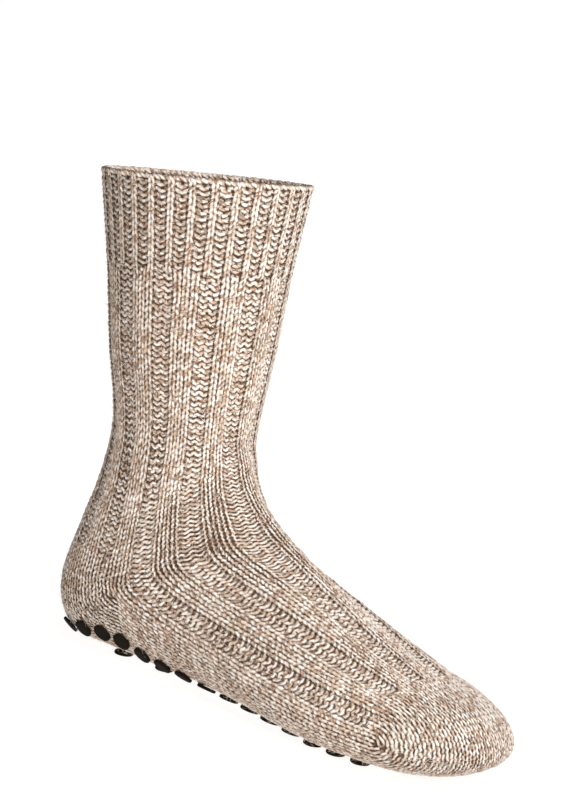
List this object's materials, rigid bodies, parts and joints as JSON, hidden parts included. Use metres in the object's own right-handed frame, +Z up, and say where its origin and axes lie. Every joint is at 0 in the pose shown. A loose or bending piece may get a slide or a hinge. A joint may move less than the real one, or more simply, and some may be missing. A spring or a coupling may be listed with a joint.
{
  "type": "slipper sock",
  "caption": "Thick marled wool slipper sock with a ribbed cuff, ribbed leg and instep, turned heel and toe, and round black rubber grip dots on the sole.",
  "frame": {"origin": "middle of the sock's box, on the floor under its grip dots", "axes": "+X to the toe, +Z up, +Y across, the sock mirrored about the XZ plane"},
  "size_m": [0.2816, 0.1044, 0.2496],
  "materials": {
    "marled_wool": "knitted marled wool, cream, beige and brown plies",
    "grip_rubber": "matt black rubber"
  },
  "bodies": {
    "root": {"knitted_sock": "marled_wool", "grip_dot_01": "grip_rubber", "grip_dot_02": "grip_rubber", "grip_dot_03": "grip_rubber", "grip_dot_04": "grip_rubber", "grip_dot_05": "grip_rubber", "grip_dot_06": "grip_rubber", "grip_dot_07": "grip_rubber", "grip_dot_08": "grip_rubber", "grip_dot_09": "grip_rubber", "grip_dot_10": "grip_rubber", "grip_dot_11": "grip_rubber", "grip_dot_12": "grip_rubber", "grip_dot_13": "grip_rubber", "grip_dot_14": "grip_rubber", "grip_dot_15": "grip_rubber", "grip_dot_16": "grip_rubber", "grip_dot_17": "grip_rubber", "grip_dot_18": "grip_rubber", "grip_dot_19": "grip_rubber", "grip_dot_20": "grip_rubber", "grip_dot_21": "grip_rubber", "grip_dot_22": "grip_rubber", "grip_dot_23": "grip_rubber", "grip_dot_24": "grip_rubber", "grip_dot_25": "grip_rubber", "grip_dot_26": "grip_rubber", "grip_dot_27": "grip_rubber", "grip_dot_28": "grip_rubber", "grip_dot_29": "grip_rubber", "grip_dot_30": "grip_rubber", "grip_dot_31": "grip_rubber", "grip_dot_32": "grip_rubber", "grip_dot_33": "grip_rubber", "grip_dot_34": "grip_rubber", "grip_dot_35": "grip_rubber", "grip_dot_36": "grip_rubber", "grip_dot_37": "grip_rubber", "grip_dot_38": "grip_rubber", "grip_dot_39": "grip_rubber", "grip_dot_40": "grip_rubber", "grip_dot_41": "grip_rubber", "grip_dot_42": "grip_rubber", "grip_dot_43": "grip_rubber", "grip_dot_44": "grip_rubber", "grip_dot_45": "grip_rubber", "grip_dot_46": "grip_rubber", "grip_dot_47": "grip_rubber", "grip_dot_48": "grip_rubber", "grip_dot_49": "grip_rubber", "grip_dot_50": "grip_rubber", "grip_dot_51": "grip_rubber", "grip_dot_52": "grip_rubber", "grip_dot_53": "grip_rubber", "grip_dot_54": "grip_rubber", "grip_dot_55": "grip_rubber", "grip_dot_56": "grip_rubber", "grip_dot_57": "grip_rubber"}
  },
  "joints": []
}
